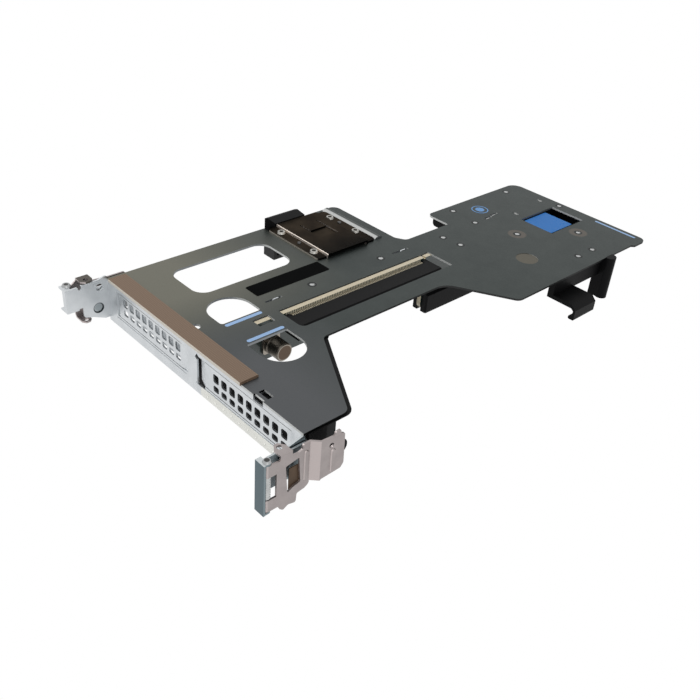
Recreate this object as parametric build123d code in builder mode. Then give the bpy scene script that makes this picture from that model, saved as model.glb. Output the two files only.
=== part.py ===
from build123d import *
import os

os.makedirs("parts", exist_ok=True)

# PCI Express riser with two low-profile slots side by side, one on each face of an upright board.
# Origin: middle of the host connector's lower face. +X runs along the rear bracket from the
# left latch to the right one, +Y from the bracket to the far end, +Z up to the top plate.
# Lengths are millimetres. Plan places are written as x from the board's middle plane and as
# the distance behind the outer face of the rear bracket, turned into y by back().

# Driving sizes
cage_w = 135.8
cage_l = 245.5
height = 31.5
face_y = -180.0
plate_t = 1.0
sheet = 0.8
bracket_h = 21.3
board_t = 2.36
touch = 0.02

half_w = cage_w / 2
top_z = height
under_z = top_z - plate_t
bracket_z = top_z - bracket_h
board_x = board_t / 2


def back(distance):
    """y of a place that lies this far behind the outer face of the rear bracket."""
    return face_y + distance


def level(z):
    """Horizontal sketch plane at height z."""
    return Plane.XY.offset(z)


def across(y):
    """Sketch plane facing -Y at y, drawn in x and z."""
    return Plane.XZ.offset(-y)


def side(x):
    """Sketch plane facing +X at x, drawn in y and z."""
    return Plane.YZ.offset(x)


def outline(corners):
    """Closed face through (u, v, radius) corners, each rounded by its own radius."""
    with BuildSketch(mode=Mode.PRIVATE) as shape:
        with BuildLine():
            Polyline(*[(u, v) for u, v, radius in corners], close=True)
        make_face()
        for u, v, radius in corners:
            if radius:
                fillet(shape.vertices().sort_by_distance((u, v, 0))[0], radius)
    return shape.sketch


def box_at(x, y, z):
    """Block between the (low, high) pairs x, y and z, for use inside a part."""
    with Locations(((x[0] + x[1]) / 2, (y[0] + y[1]) / 2, (z[0] + z[1]) / 2)):
        return Box(x[1] - x[0], y[1] - y[0], z[1] - z[0])


def cut_box(x, y, z):
    """Cut the block between the (low, high) pairs x, y and z from the part."""
    with Locations(((x[0] + x[1]) / 2, (y[0] + y[1]) / 2, (z[0] + z[1]) / 2)):
        Box(x[1] - x[0], y[1] - y[0], z[1] - z[0], mode=Mode.SUBTRACT)


def save(part, name):
    """Label a finished piece and write it under the same name."""
    part.label = name
    export_step(part, "parts/" + name + ".step")


# Openings in the top plate
neck_x = 25.1
far_x = 55.5
far_left_x = -31.8
neck_left_x = -17.1
left_wing_d = 136.0
notch_d = 170.8
corner_r = 4.0

window_x = (-56.7, -31.6)
window_d = (24.5, 78.4)
window_r = 6.5

finger_r = 10.3
left_finger = (-14.4, 28.7)
left_flat_x = -6.8
right_finger = (20.8, 28.0)
right_flat_x = 11.4

slot_x = (-1.7, 14.6)
slot_d = (44.2, 138.5)
tab_slot_x = (-1.7, 3.6)
tab_slot_d = (30.4, 38.6)

release_x = (1.8, 22.3)
release_d = (209.0, 237.5)

module_x = (-half_w, -59.6)
module_d = (88.2, 108.0)
module_gap = 0.2

hook_hole_x = (39.0, 44.8)
hook_hole_d = (2.4, 5.2)
hook_face_z = 2.6

rivet_r = 1.1
rivet_hole_r = 1.4
rivet_foot_r = 1.55
rivet_places = [
    (-10.4, 70.8), (-10.4, 114.4), (-10.1, 184.6), (-8.0, 156.8), (2.75, 158.1),
    (-26.7, 185.6), (-26.7, 231.6), (3.3, 241.9), (46.0, 211.1), (46.0, 198.7),
]
pressed_places = [(29.9, 221.9), (11.9, 192.6)]
pilot_place = (-11.9, 9.2)
pilot_r = 2.0

bead_d = left_wing_d - 7.2
bead_w = 5.4
bead_h = 1.1
bead_end = -26.7
disc_place = (32.2, 174.6)
disc_r = 5.5
disc_depth = 0.12
hook_slot_x = -10.4
hook_slots = [(44.0, 53.2), (122.4, 133.2)]
hook_slot_w = 1.2

side_flange_d = (3.0, 15.5)
side_flange_h = 17.0

# The 1 mm sheet that everything hangs from
plate_corners = [
    (-half_w, back(0), 0), (-half_w, back(left_wing_d), corner_r),
    (neck_left_x - 5.3, back(left_wing_d), 3), (neck_left_x, back(left_wing_d + 3.2), 3),
    (neck_left_x, back(notch_d), 0.5), (far_left_x, back(notch_d), 3),
    (far_left_x, back(cage_l), 6), (far_x + 1.4, back(cage_l), corner_r),
    (far_x + 1.4, back(cage_l - 11), 1), (far_x, back(cage_l - 12.5), 1),
    (far_x, back(139.0), corner_r), (neck_x, back(121.0), 9),
    (neck_x, back(46.4), 4), (half_w, back(21.3), corner_r), (half_w, back(0), 0),
]
plate_outline = outline(plate_corners)
window_outline = outline([
    (window_x[0], back(window_d[0]), window_r), (window_x[1], back(window_d[0]), window_r),
    (window_x[1], back(window_d[1]), window_r), (window_x[0], back(window_d[1]), window_r),
])
slot_outline = outline([
    (slot_x[0], back(slot_d[0]), 0.5), (slot_x[1], back(slot_d[0]), 3),
    (slot_x[1], back(slot_d[1]), 0.5), (slot_x[0], back(slot_d[1]), 0.5),
])


def finger_opening(centre, flat_x, radius, corner):
    """D-shaped opening: a half round about centre that runs straight on to flat_x."""
    with BuildSketch(mode=Mode.PRIVATE) as shape:
        with Locations((centre[0], back(centre[1]))):
            Circle(radius)
        with Locations(((centre[0] + flat_x) / 2, back(centre[1]))):
            Rectangle(abs(centre[0] - flat_x), 2 * radius)
        outward = radius if flat_x > centre[0] else -radius
        with Locations((flat_x + outward, back(centre[1]))):
            Rectangle(2 * radius, 3 * radius, mode=Mode.SUBTRACT)
        corners = shape.vertices().filter_by_position(Axis.X, flat_x - 0.1, flat_x + 0.1)
        fillet(corners, corner)
    return shape.sketch


left_opening = finger_opening(left_finger, left_flat_x, finger_r, 1.5)
right_opening = finger_opening(right_finger, right_flat_x, finger_r, 0.8)

with BuildPart() as top_plate:
    with BuildSketch(level(top_z)):
        add(plate_outline)
    extrude(amount=-plate_t)
    with BuildSketch(level(top_z)):
        add(window_outline)
        add(left_opening)
        add(right_opening)
        add(slot_outline)
        with Locations((sum(tab_slot_x) / 2, back(sum(tab_slot_d) / 2))):
            Rectangle(tab_slot_x[1] - tab_slot_x[0], tab_slot_d[1] - tab_slot_d[0])
        with Locations((sum(release_x) / 2, back(sum(release_d) / 2))):
            Rectangle(release_x[1] - release_x[0], release_d[1] - release_d[0])
        with Locations((sum(hook_hole_x) / 2, back(sum(hook_hole_d) / 2))):
            Rectangle(hook_hole_x[1] - hook_hole_x[0], hook_hole_d[1] - hook_hole_d[0])
        for start, end in hook_slots:
            with Locations((hook_slot_x, back((start + end) / 2))):
                SlotOverall(end - start, hook_slot_w, rotation=90)
        with Locations((-10.2, back(195.6)), (-11.2, back(201.6))):
            SlotOverall(5.6, 1.5, rotation=90)
        with Locations((-4.7, back(212.5)), (-8.0, back(238.3))):
            SlotOverall(3.6, 1.8)
        with Locations((pilot_place[0], back(pilot_place[1]))):
            Circle(pilot_r)
        for x, d in rivet_places + pressed_places:
            with Locations((x, back(d))):
                Circle(rivet_hole_r)
    extrude(amount=-plate_t, mode=Mode.SUBTRACT)
    notch = module_x[1] + module_gap
    cut_box((-half_w - 1, notch), (back(module_d[0] - module_gap), back(module_d[1] + module_gap)),
            (under_z - 1, top_z + 1))
    cut_box(hook_hole_x, (back(-1), back(0.9)), (under_z - 1, top_z + 1))
    with BuildSketch(level(top_z)):
        with Locations((disc_place[0], back(disc_place[1]))):
            Circle(disc_r)
    extrude(amount=-disc_depth, mode=Mode.SUBTRACT)
    with BuildSketch(side(-half_w + 1.0)):
        with BuildLine():
            foot = top_z - 0.1
            ThreePointArc((back(bead_d - bead_w / 2), foot), (back(bead_d), top_z + bead_h),
                          (back(bead_d + bead_w / 2), foot))
            Line((back(bead_d + bead_w / 2), foot), (back(bead_d - bead_w / 2), foot))
        make_face()
    extrude(amount=bead_end + half_w - 1.0)
    for x in (-half_w, half_w - plate_t):
        box_at((x, x + plate_t), (back(side_flange_d[0]), back(side_flange_d[1])),
               (top_z - side_flange_h, under_z))
save(top_plate.part, "top_plate")

# Riser board: a shallow part behind the slots and a deep part that carries the host connector
board_d = (20.0, 232.0)
board_top = under_z - 0.1
tab_top = top_z - 0.4
deep_d = 134.5
shallow_z = top_z - 20.2
slot_l = 89.0
slot_start_d = 45.0
host_d = (deep_d + 0.7, deep_d + 90.3)
host_corner_d = (host_d[0] + 4.3, host_d[0] + 5.8)

with BuildPart() as riser_board:
    with BuildSketch(side(-board_x)):
        add(outline([
            (back(board_d[0]), board_top, 0), (back(board_d[0]), shallow_z, 2),
            (back(deep_d), shallow_z, 1), (back(deep_d), 0.4, 4), (back(host_corner_d[0]), 0.4, 1),
            (back(host_corner_d[1]), 6.0, 0), (back(board_d[1]), 6.0, 3),
            (back(board_d[1]), board_top, 1),
        ]))
        for start, end in ((30.8, 38.2), (44.8, 132.8), (134.2, 138.1)):
            with Locations((back((start + end) / 2), (board_top + tab_top) / 2)):
                Rectangle(end - start, tab_top - board_top)
    extrude(amount=board_t)
save(riser_board.part, "riser_board")

# Card slots. Each housing stands off one face of the board with its mouth turned outward.
housing_h = 7.5
housing_w = 11.2
mouth_h = 1.75
mouth_deep = 8.2
key_d = 13.6
right_slot_z = top_z - 1.4
left_slot_z = top_z - 2.7


def card_slot(hand, roof):
    """x16 housing on the hand side (+1 right, -1 left) of the board with its roof at z roof."""
    start = back(slot_start_d)
    near = hand * board_x
    far = hand * (board_x + housing_w)
    mouth_z = roof - housing_h / 2
    with BuildPart() as housing:
        box_at(sorted((near, far)), (start, start + slot_l), (roof - housing_h, roof))
        chamfer(housing.edges().filter_by(Axis.Y).group_by(Axis.X)[-1 if hand > 0 else 0], 0.8)
        mouth = sorted((far + hand, far - hand * mouth_deep))
        cut_box(mouth, (start + 1.9, start + key_d - 0.9),
                (mouth_z - mouth_h / 2, mouth_z + mouth_h / 2))
        cut_box(mouth, (start + key_d + 0.9, start + slot_l - 1.9),
                (mouth_z - mouth_h / 2, mouth_z + mouth_h / 2))
        foot = sorted((near, near + hand * 2.2))
        cut_box(foot, (start + 3, start + slot_l - 3), (roof - 0.5, roof + 1))
    return housing.part


save(card_slot(1, right_slot_z), "right_slot_connector")
save(card_slot(-1, left_slot_z), "left_slot_connector")

# Gold tails of the right slot, one row soldered along its roof
tail_pitch = 1.0
tail_count = 82
with BuildPart() as slot_tails:
    with Locations((board_x + 1.0, back(slot_start_d) + slot_l / 2, right_slot_z - 0.3)):
        with GridLocations(1, tail_pitch, 1, tail_count):
            Box(2.0, 0.45, 0.4)
save(slot_tails.part, "slot_contact_tails")

# Host connector: moulded shroud round the deep edge of the board, mouth down
host_key = 1.0
host_x = 4.6
host_h = 11.0
host_mouth = 2.6

with BuildPart() as host_connector:
    middle = back(sum(host_d) / 2)
    length = host_d[1] - host_d[0]
    with BuildSketch(Plane.XY):
        with Locations((0, middle)):
            Rectangle(2 * host_x, length)
    extrude(amount=host_h)
    chamfer(host_connector.edges().filter_by(Axis.Y).group_by(Axis.Z)[-1], 1.2)
    fillet(host_connector.edges().filter_by(Axis.Z), 1.0)
    horn_end = back(host_corner_d[1])
    cut_box((-board_x, board_x), (back(host_d[0]) - 1, back(host_d[1]) + 1), (6.0, host_h + 1))
    cut_box((-board_x, board_x), (back(host_d[0]) - 1, horn_end), (-1, 6.1))
    for start, end in ((horn_end + 2.5, middle - host_key), (middle + host_key, back(host_d[1]) - 3.5)):
        cut_box((-host_mouth / 2, host_mouth / 2), (start, end), (-1, 5.0))
        cut_box((-board_x - 2.1, board_x + 2.1), (start + 1, end - 1), (-1, 0.6))
save(host_connector.part, "host_connector")

# Electrolytic capacitor lying out from the right face of the board
cap_d = 37.8
cap_z = top_z - 12.1
cap_r = 4.3
cap_l = 9.1

with BuildPart() as capacitor:
    with BuildSketch(Plane.YZ.offset(board_x)):
        with Locations((back(cap_d), cap_z)):
            RectangleRounded(2 * cap_r + 0.4, 2 * cap_r + 0.4, 1.2)
    extrude(amount=1.2)
    axis_point = (board_x + 1.0, back(cap_d), cap_z)
    with BuildSketch(Plane(origin=axis_point, x_dir=(1, 0, 0), z_dir=(0, -1, 0))):
        with BuildLine():
            Polyline((0, 0), (cap_l, 0), (cap_l, cap_r - 0.5), (cap_l - 0.5, cap_r),
                     (2.8, cap_r), (2.3, cap_r - 0.35), (1.8, cap_r), (0, cap_r), close=True)
        make_face()
    revolve(axis=Axis(axis_point, (1, 0, 0)))
save(capacitor.part, "capacitor")

# Steel bracket that ties the board to the plate: a flange under the plate and two folded tabs
flange_x = (-14.6, -board_x)
flange_z = under_z - sheet
tab_d = [(22.0, 40.0), (141.0, 158.0)]
tab_low = top_z - 15.0
board_screw_places = [(26.0, 7.0), (36.0, 11.0), (145.5, 8.0), (153.5, 11.5)]
screw_hole_r = 1.25

with BuildPart() as board_bracket:
    with BuildSketch(level(under_z)):
        with BuildLine():
            Polyline((flange_x[0], back(40)), (flange_x[0], back(160)), (flange_x[1], back(160)),
                     (flange_x[1], back(139)), (-2.2, back(139)), (-2.2, back(44)),
                     (flange_x[1], back(44)), (flange_x[1], back(21)), (-5.0, back(21)),
                     (-5.0, back(40)), close=True)
        make_face()
        for x, d in rivet_places:
            if flange_x[0] < x < -board_x:
                with Locations((x, back(d))):
                    Circle(rivet_r + touch, mode=Mode.SUBTRACT)
    extrude(amount=-sheet)
    for start, end in tab_d:
        box_at((-board_x - sheet, -board_x), (back(start), back(end)), (tab_low, flange_z))
    lower = board_bracket.edges().filter_by(Axis.X).group_by(Axis.Z)[0]
    fillet(lower, 3)
    for start, end in hook_slots:
        with BuildSketch(side(hook_slot_x - 0.3)):
            with Locations((back(end - 3.4), under_z + 0.5)):
                Trapezoid(4.2, plate_t + 0.2, 60)
        extrude(amount=0.6)
    for d, depth in board_screw_places:
        with Locations(Location((-board_x, back(d), top_z - depth), (0, 90, 0))):
            Cylinder(screw_hole_r + touch, 6, mode=Mode.SUBTRACT)
save(board_bracket.part, "board_bracket")

# Pan-head screws from the tabs into the board
with BuildPart() as board_screws:
    for d, depth in board_screw_places:
        head_x = -board_x - sheet
        with BuildSketch(side(head_x)):
            with Locations((back(d), top_z - depth)):
                Circle(2.4)
        extrude(amount=-1.5, taper=18)
        with BuildSketch(side(head_x)):
            with Locations((back(d), top_z - depth)):
                Circle(screw_hole_r)
        extrude(amount=sheet)
save(board_screws.part, "board_screws")

# Rivets and pressed studs of the plate, each a pointed stem in a wider hole on a flat foot
with BuildPart() as plate_rivets:
    for x, d in rivet_places + pressed_places:
        under_flange = flange_x[0] < x < flange_x[1] and d < 160
        foot_z = flange_z if under_flange else under_z
        with BuildSketch(Plane(origin=(x, back(d), 0), x_dir=(1, 0, 0), z_dir=(0, -1, 0))):
            with BuildLine():
                Polyline((0, foot_z - 0.5), (rivet_foot_r, foot_z - 0.5), (rivet_foot_r, foot_z),
                         (rivet_r, foot_z), (rivet_r, top_z), (0, top_z + 0.45), close=True)
            make_face()
        revolve(axis=Axis((x, back(d), 0), (0, 0, 1)))
save(plate_rivets.part, "plate_rivets")

# Liner: one film under the right wing that shows as a dark rim along the slanted and outer
# edges, folds down behind the right half of the bracket and turns a strip outside its end
liner_t = 0.4
liner_wall_d = 3.6
liner_low = top_z - 20.8
with BuildPart() as underside_liner:
    with BuildSketch(level(under_z)):
        add(outline([
            (33.0, back(8.2), 0), (half_w - plate_t - 0.4, back(8.2), 0),
            (half_w - plate_t - 0.4, back(15.8), 0), (half_w + touch, back(15.8), 0),
            (half_w + touch, back(10.0), 0), (half_w + 0.6, back(10.0), 0),
            (half_w + 0.6, back(23.1), 5), (26.2, back(48.2), 3), (23.4, back(52.0), 0),
            (23.4, back(46.0), 0), (33.0, back(40.2), 2),
        ]))
    extrude(amount=-liner_t)
    low_sheet_z = under_z - sheet - touch
    box_at((9.0, half_w - plate_t - 0.4), (back(liner_wall_d), back(8.8)),
           (low_sheet_z - liner_t, low_sheet_z))
    box_at((33.0, half_w - plate_t - 0.4), (back(8.4), back(8.8)), (low_sheet_z - liner_t, under_z))
    box_at((-4.4, half_w - plate_t - 0.4), (back(liner_wall_d), back(liner_wall_d + liner_t)),
           (liner_low, low_sheet_z))
    box_at((half_w + touch, half_w + 0.6), (back(2.0), back(10.6)), (top_z - 18.0, under_z))
save(underside_liner.part, "underside_liner")

# Rear bracket: top flange, face with two card openings, and a folded latch arm at each end
band = 2.9
slot_low = 15.3
card_left = (-59.9, -4.9)
card_right = (2.1, 63.1)

left_pin = (-71.35, -17.3)
right_pin = (71.7, -19.2)
pin_r = 0.9
pin_fit = 0.05
left_web_d = (-20.2, -19.4)
right_web_d = (-21.6, -20.8)
left_ear_z = (top_z - 11.2, top_z + 0.3)
right_ear_z = (top_z - 22.7, top_z + 0.3)
right_web_x = (half_w + 0.4, right_pin[0] + 1.6)


def ear(pin, x, web):
    """Flat ear that reaches from the web to a rounded nose round the pin."""
    nose = min(pin[0] - x[0], x[1] - pin[0])
    with BuildSketch(mode=Mode.PRIVATE) as shape:
        with Locations(((x[0] + x[1]) / 2, back((web[0] + pin[1]) / 2))):
            Rectangle(x[1] - x[0], pin[1] - web[0])
        with Locations((pin[0], back(pin[1]))):
            Circle(nose)
            Circle(pin_r + pin_fit, mode=Mode.SUBTRACT)
    return shape.sketch


with BuildPart() as rear_bracket:
    box_at((-half_w, half_w), (back(0), back(sheet)), (bracket_z, under_z))
    box_at((-half_w + 1.5, half_w - 1.5), (back(sheet), back(8.0)), (under_z - sheet, under_z))
    for x in (card_left, card_right):
        cut_box(x, (back(-1), back(sheet + 0.01)), (top_z - slot_low, top_z - band))
        cut_box((x[0] - 1.0, x[1] - 1.0), (back(-1), back(0.25)), (top_z - 16.6, top_z - 16.2))
    cut_box((card_right[0], card_right[0] + 5.4), (back(-1), back(sheet + 0.01)),
            (top_z - 16.9, top_z - slot_low + 0.1))
    with BuildSketch(across(back(sheet))):
        add(outline([
            (card_right[0] - 1.3, top_z - 4.0, 0), (card_right[0] + 0.1, top_z - 1.9, 0),
            (card_right[0] + 1.5, top_z - 3.1, 0), (card_right[0] + 0.2, top_z - 5.0, 0),
        ]))
    extrude(amount=sheet, mode=Mode.SUBTRACT)
    cut_box(hook_hole_x, (back(-1), back(sheet + 0.01)), (top_z - hook_face_z, under_z + 1))
    cut_box(hook_hole_x, (back(sheet) - 0.01, back(9)), (under_z - 2, under_z + 1))
    with BuildSketch(level(under_z)):
        with Locations((pilot_place[0], back(pilot_place[1]))):
            Circle(pilot_r)
    extrude(amount=-2 * sheet, mode=Mode.SUBTRACT)
    with BuildSketch(side(-half_w)):
        add(outline([
            (back(0), top_z + 1.4, 0), (back(-1.2), top_z + 1.9, 0.5), (back(-4.5), top_z + 0.9, 1),
            (back(-12.7), top_z + 0.8, 0.4), (back(-12.7), top_z - 1.2, 0),
            (back(-14.2), top_z - 1.2, 0), (back(-14.2), top_z + 0.3, 0.4),
            (back(left_web_d[1]), top_z + 0.3, 0), (back(left_web_d[1]), top_z - 11.2, 0),
            (back(-14.4), top_z - 11.2, 0.4), (back(-14.4), top_z - 10.4, 0),
            (back(-12.5), top_z - 10.4, 0), (back(-12.5), top_z - 15.6, 1),
            (back(-8.2), top_z - 16.8, 1), (back(-2.5), top_z - 19.3, 1), (back(0), top_z - 19.3, 0),
        ]))
        with Locations((back(-4.2), top_z - 2.8)):
            Circle(1.7, mode=Mode.SUBTRACT)
    extrude(amount=sheet)
    with BuildSketch(side(-half_w + sheet)):
        with Locations((back(-5.4), top_z - 13.0)):
            Circle(2.3)
    extrude(amount=-0.5, mode=Mode.SUBTRACT)
    left_web_x = (left_pin[0] + 1.6, -half_w + sheet)
    box_at(left_web_x, (back(left_web_d[0]), back(left_web_d[1])), left_ear_z)
    for z in (left_ear_z[0] + sheet, left_ear_z[1]):
        with BuildSketch(level(z)):
            add(ear(left_pin, (left_pin[0] - 1.5, -half_w), left_web_d))
        extrude(amount=-sheet)
    with BuildSketch(side(half_w - sheet)):
        add(outline([
            (back(0), under_z, 0), (back(-6.5), top_z - 2.5, 2), (back(-16.0), top_z - 2.5, 0),
            (back(-16.0), top_z - 17.5, 0), (back(-4.0), top_z - 17.5, 2), (back(0), top_z - 19.4, 0),
        ]))
    extrude(amount=sheet)
    with BuildSketch(level(top_z - 2.5)):
        add(outline([
            (half_w - sheet, back(-15.8), 0), (half_w, back(-15.8), 0),
            (right_web_x[0] + sheet, back(-17.8), 1), (right_web_x[0] + sheet, back(right_web_d[1]), 0),
            (right_web_x[0], back(right_web_d[1]), 0), (right_web_x[0], back(-18.1), 1),
        ]))
    extrude(amount=-15.0)
    box_at(right_web_x, (back(right_web_d[0]), back(right_web_d[1])), right_ear_z)
    for z in (right_ear_z[0] + sheet, right_ear_z[1]):
        with BuildSketch(level(z)):
            add(ear(right_pin, (right_web_x[0], right_pin[0] + 1.5), right_web_d))
        extrude(amount=-sheet)
save(rear_bracket.part, "rear_bracket")

# Perforated covers that fill the two card openings, each folded forward into a tab outboard
hole_w = 3.6
hole_r = 0.9
hole_rows = [(0, 4.1), (5.0, 2.9)]
tab_l = 11.0
tab_gap = 0.35
cover_z = (top_z - 15.0, top_z - 3.2)
face_gap = 0.05


def slot_cover(hand, inner_x, step_x, recess, first_x, last_x, count, row_depth):
    """Slot cover on the hand side, flush in its opening. Its inner end steps back by recess. At
    step_x it steps behind the bracket, and its outer end folds forward into a tab."""
    outer = half_w + tab_gap + sheet
    bend = inner_x + hand * (3.2 + recess)
    behind = sheet + touch
    front = [(inner_x, recess), (bend, face_gap), (step_x, face_gap),
             (step_x + hand * 1.6, behind), (hand * outer, behind)]
    with BuildPart() as cover:
        with BuildSketch(level(cover_z[0])):
            rear = [(x, d + sheet) for x, d in reversed(front)]
            add(outline([(x, back(d), 0) for x, d in front + rear]))
        extrude(amount=cover_z[1] - cover_z[0])
        tab = sorted((hand * (outer - sheet), hand * outer))
        box_at(tab, (back(-tab_l), back(behind + 0.1)), cover_z)
        fillet(cover.edges().filter_by(Axis.X).group_by(Axis.Y)[0], 2)
        with BuildSketch(side(hand * outer)):
            with Locations((back(-tab_l + 2.0), top_z - 9.1)):
                SlotOverall(7.5, 4.2)
        extrude(amount=-hand * sheet, mode=Mode.SUBTRACT)
        with BuildSketch(across(back(face_gap))):
            for index in range(count):
                column = first_x + (last_x - first_x) * index / (count - 1)
                for drop, hole_h in hole_rows:
                    with Locations((column, top_z - row_depth - drop)):
                        RectangleRounded(hole_w, hole_h, hole_r)
        extrude(amount=-3 * sheet, mode=Mode.SUBTRACT)
        if hand < 0:
            leaf_x = (step_x + 1.0, inner_x)
            box_at(leaf_x, (back(recess), back(4.4)), (cover_z[1] - sheet, cover_z[1]))
            box_at(leaf_x, (back(3.6), back(4.4)), (cover_z[0] - 0.3, cover_z[1]))
    return cover.part


left_cover = slot_cover(-1, card_left[1] - 0.2, card_left[0] + 1.9, 1.0, -52.7, -11.5, 9, 6.1)
right_cover = slot_cover(1, card_right[0] + 0.8, card_right[1] - 2.2, 1.7, 15.1, 57.4, 9, 7.3)
save(left_cover, "left_slot_cover")
save(right_cover, "right_slot_cover")

# Contact gasket over the top flange and the spring strip under the right opening
with BuildPart() as top_gasket:
    box_at((-65.0, 31.6), (back(0), back(8.2)), (top_z, top_z + 1.2))
    box_at((-65.0, 31.6), (back(-0.7), back(0)), (top_z - 0.3, top_z + 1.2))
    fillet(top_gasket.edges().filter_by(Axis.X).group_by(Axis.Z)[-1], 0.5)
save(top_gasket.part, "top_gasket")

strip_x = (5.1, 62.1)
strip_z = (top_z - 21.2, top_z - 16.7)
dimple_pitch = 5.3
dimple_count = 10
with BuildPart() as lower_gasket:
    with BuildSketch(side(strip_x[0])):
        with BuildLine():
            ThreePointArc((back(-0.1), strip_z[1]), (back(-0.5), sum(strip_z) / 2),
                          (back(-0.1), strip_z[0]))
            Polyline((back(-0.1), strip_z[0]), (back(0), strip_z[0]), (back(0), strip_z[1]),
                     (back(-0.1), strip_z[1]))
        make_face()
    extrude(amount=strip_x[1] - strip_x[0])
    with BuildSketch(across(back(-0.4))):
        with Locations((sum(strip_x) / 2, sum(strip_z) / 2)):
            with GridLocations(dimple_pitch, 1, dimple_count, 1):
                Circle(0.6)
    extrude(amount=0.35, taper=30)
save(lower_gasket.part, "lower_gasket")

# Latch levers. Each is one formed sheet that curls round its pin between the ears of the arm.
curl_in = pin_r + 0.07
curl_out = 1.55
ear_play = 0.15
right_lever_x = right_pin[0] + curl_out
left_lever_x = left_pin[0] - curl_out + 0.05
step_out = 2.7
right_gap_z = (top_z - 16.4, top_z - 6.0)

with BuildPart() as right_latch_lever:
    low = right_ear_z[0] + sheet + ear_play
    high = right_ear_z[1] - sheet - ear_play
    with BuildSketch(side(right_lever_x)):
        add(outline([
            (back(right_pin[1]), high, 0), (back(-13.5), high - 0.4, 1), (back(-6.5), high - 0.9, 1),
            (back(-4.7), high - 0.4, 0.5), (back(-4.6), top_z + 1.0, 0.8), (back(-1.2), top_z + 1.0, 0),
            (back(-1.2), top_z - 18.0, 0.2), (back(-1.9), top_z - 18.9, 0.2),
            (back(-3.3), top_z - 19.7, 1), (back(-6.7), top_z - 20.2, 0.8),
            (back(-7.0), top_z - 24.3, 0.8), (back(-10.5), top_z - 23.4, 1),
            (back(-12.8), top_z - 24.7, 0.8), (back(-14.3), top_z - 23.4, 0.8),
            (back(-15.2), low, 0), (back(right_pin[1]), low, 0),
        ]))
        add(outline([
            (back(-12.1), top_z - 4.9, 0.4), (back(-6.2), top_z - 3.8, 0.4),
            (back(-5.2), top_z - 15.4, 0.8), (back(-8.5), top_z - 16.2, 0.5),
            (back(-11.0), top_z - 17.6, 0.5),
        ]), mode=Mode.SUBTRACT)
        with Locations((back(-17.8), sum(right_gap_z) / 2)):
            Rectangle(3.6, right_gap_z[1] - right_gap_z[0], mode=Mode.SUBTRACT)
    extrude(amount=-sheet)
    with BuildSketch(level(high)):
        with Locations((right_pin[0], back(right_pin[1]))):
            Circle(curl_out)
    extrude(amount=low - high)
    cut_box((right_pin[0] - 4, right_pin[0] + 4), (back(right_pin[1]) - 4, back(right_pin[1]) + 1.9),
            right_gap_z)
    with BuildSketch(level(high + 1)):
        with Locations((right_pin[0], back(right_pin[1]))):
            Circle(curl_in)
    extrude(amount=low - high - 2, mode=Mode.SUBTRACT)
    panel_x = right_lever_x + step_out
    with BuildSketch(level(top_z + 1.0)):
        add(outline([
            (right_lever_x - sheet, back(-1.4), 0), (right_lever_x, back(-1.4), 0),
            (panel_x, back(1.4), 0), (panel_x, back(1.8), 0), (panel_x - sheet, back(1.8), 0),
            (right_lever_x - sheet, back(-1.0), 0),
        ]))
    extrude(amount=-18.0)
    with BuildSketch(side(panel_x)):
        add(outline([
            (back(1.6), top_z + 1.0, 0), (back(7.6), top_z + 0.5, 0), (back(8.0), top_z + 2.0, 0.8),
            (back(10.4), top_z + 2.2, 0.8), (back(10.7), top_z + 0.2, 0.5), (back(12.5), top_z - 0.4, 1),
            (back(12.8), top_z - 14.4, 1.5), (back(11.4), top_z - 16.2, 1), (back(2.0), top_z - 16.6, 1),
            (back(1.6), top_z - 17.0, 0),
        ]))
        with Locations((back(6.3), top_z - 3.1)):
            Circle(1.1, mode=Mode.SUBTRACT)
    extrude(amount=-sheet)
    with BuildSketch(side(panel_x)):
        with Locations((back(7.2), top_z - 10.4)):
            SlotOverall(10.8, 2.2, rotation=90)
    extrude(amount=0.45, taper=35)
    with BuildSketch(side(right_lever_x)):
        with Locations((back(-3.0), top_z - 9.2)):
            SlotOverall(14.0, 1.8, rotation=90)
    extrude(amount=0.4, taper=35)
    tab_z = top_z + 1.0
    box_at((right_lever_x - sheet, right_lever_x), (back(-14.4), back(-9.2)), (high - 0.8, tab_z))
    with BuildSketch(level(tab_z)):
        with BuildLine():
            reach_x = right_lever_x - 6.3
            Polyline((right_lever_x, back(-14.4)), (reach_x + 2.4, back(-14.4)), (reach_x, back(-12.6)),
                     (reach_x, back(-11.0)), (reach_x + 2.4, back(-9.2)), (right_lever_x, back(-9.2)),
                     close=True)
        make_face()
        with Locations((reach_x + 2.2, back(-11.8))):
            Circle(1.1, mode=Mode.SUBTRACT)
    extrude(amount=-sheet)
save(right_latch_lever.part, "right_latch_lever")

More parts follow.
